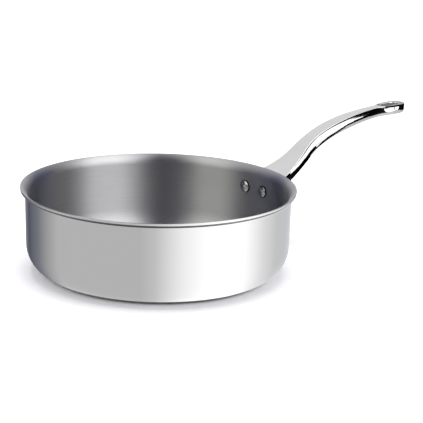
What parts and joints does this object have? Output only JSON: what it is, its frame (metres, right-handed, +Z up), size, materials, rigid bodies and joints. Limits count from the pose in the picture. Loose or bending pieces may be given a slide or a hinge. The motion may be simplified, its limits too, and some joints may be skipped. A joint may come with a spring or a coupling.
{
  "type": "saucier pan",
  "caption": "Clad stainless saucier pan with a flared pouring lip, rounded base corner and a riveted cast stick handle with a hang hole.",
  "frame": {"origin": "centre of the flat underside of the base, on the bowl's axis", "axes": "+Z up along the bowl's axis, +X along the handle away from the bowl, +Y to the left seen from the handle's end towards the bowl"},
  "size_m": [0.4467, 0.2546, 0.1206],
  "materials": {
    "satin_steel": "satin, brushed round the bowl",
    "pure_aluminium": "bonded, seen only at the rim's edge",
    "core_aluminium": "bonded, seen only at the rim's edge",
    "polished_steel": "mirror polished",
    "handle_steel": "cast, satin on top and polished on the sides",
    "rivet_steel": "polished"
  },
  "bodies": {
    "root": {"cooking_layer": "satin_steel", "upper_bond_layer": "pure_aluminium", "core_layer": "core_aluminium", "lower_bond_layer": "pure_aluminium", "outer_shell": "polished_steel", "handle": "handle_steel", "rivet_left": "rivet_steel", "rivet_right": "rivet_steel"}
  },
  "joints": []
}
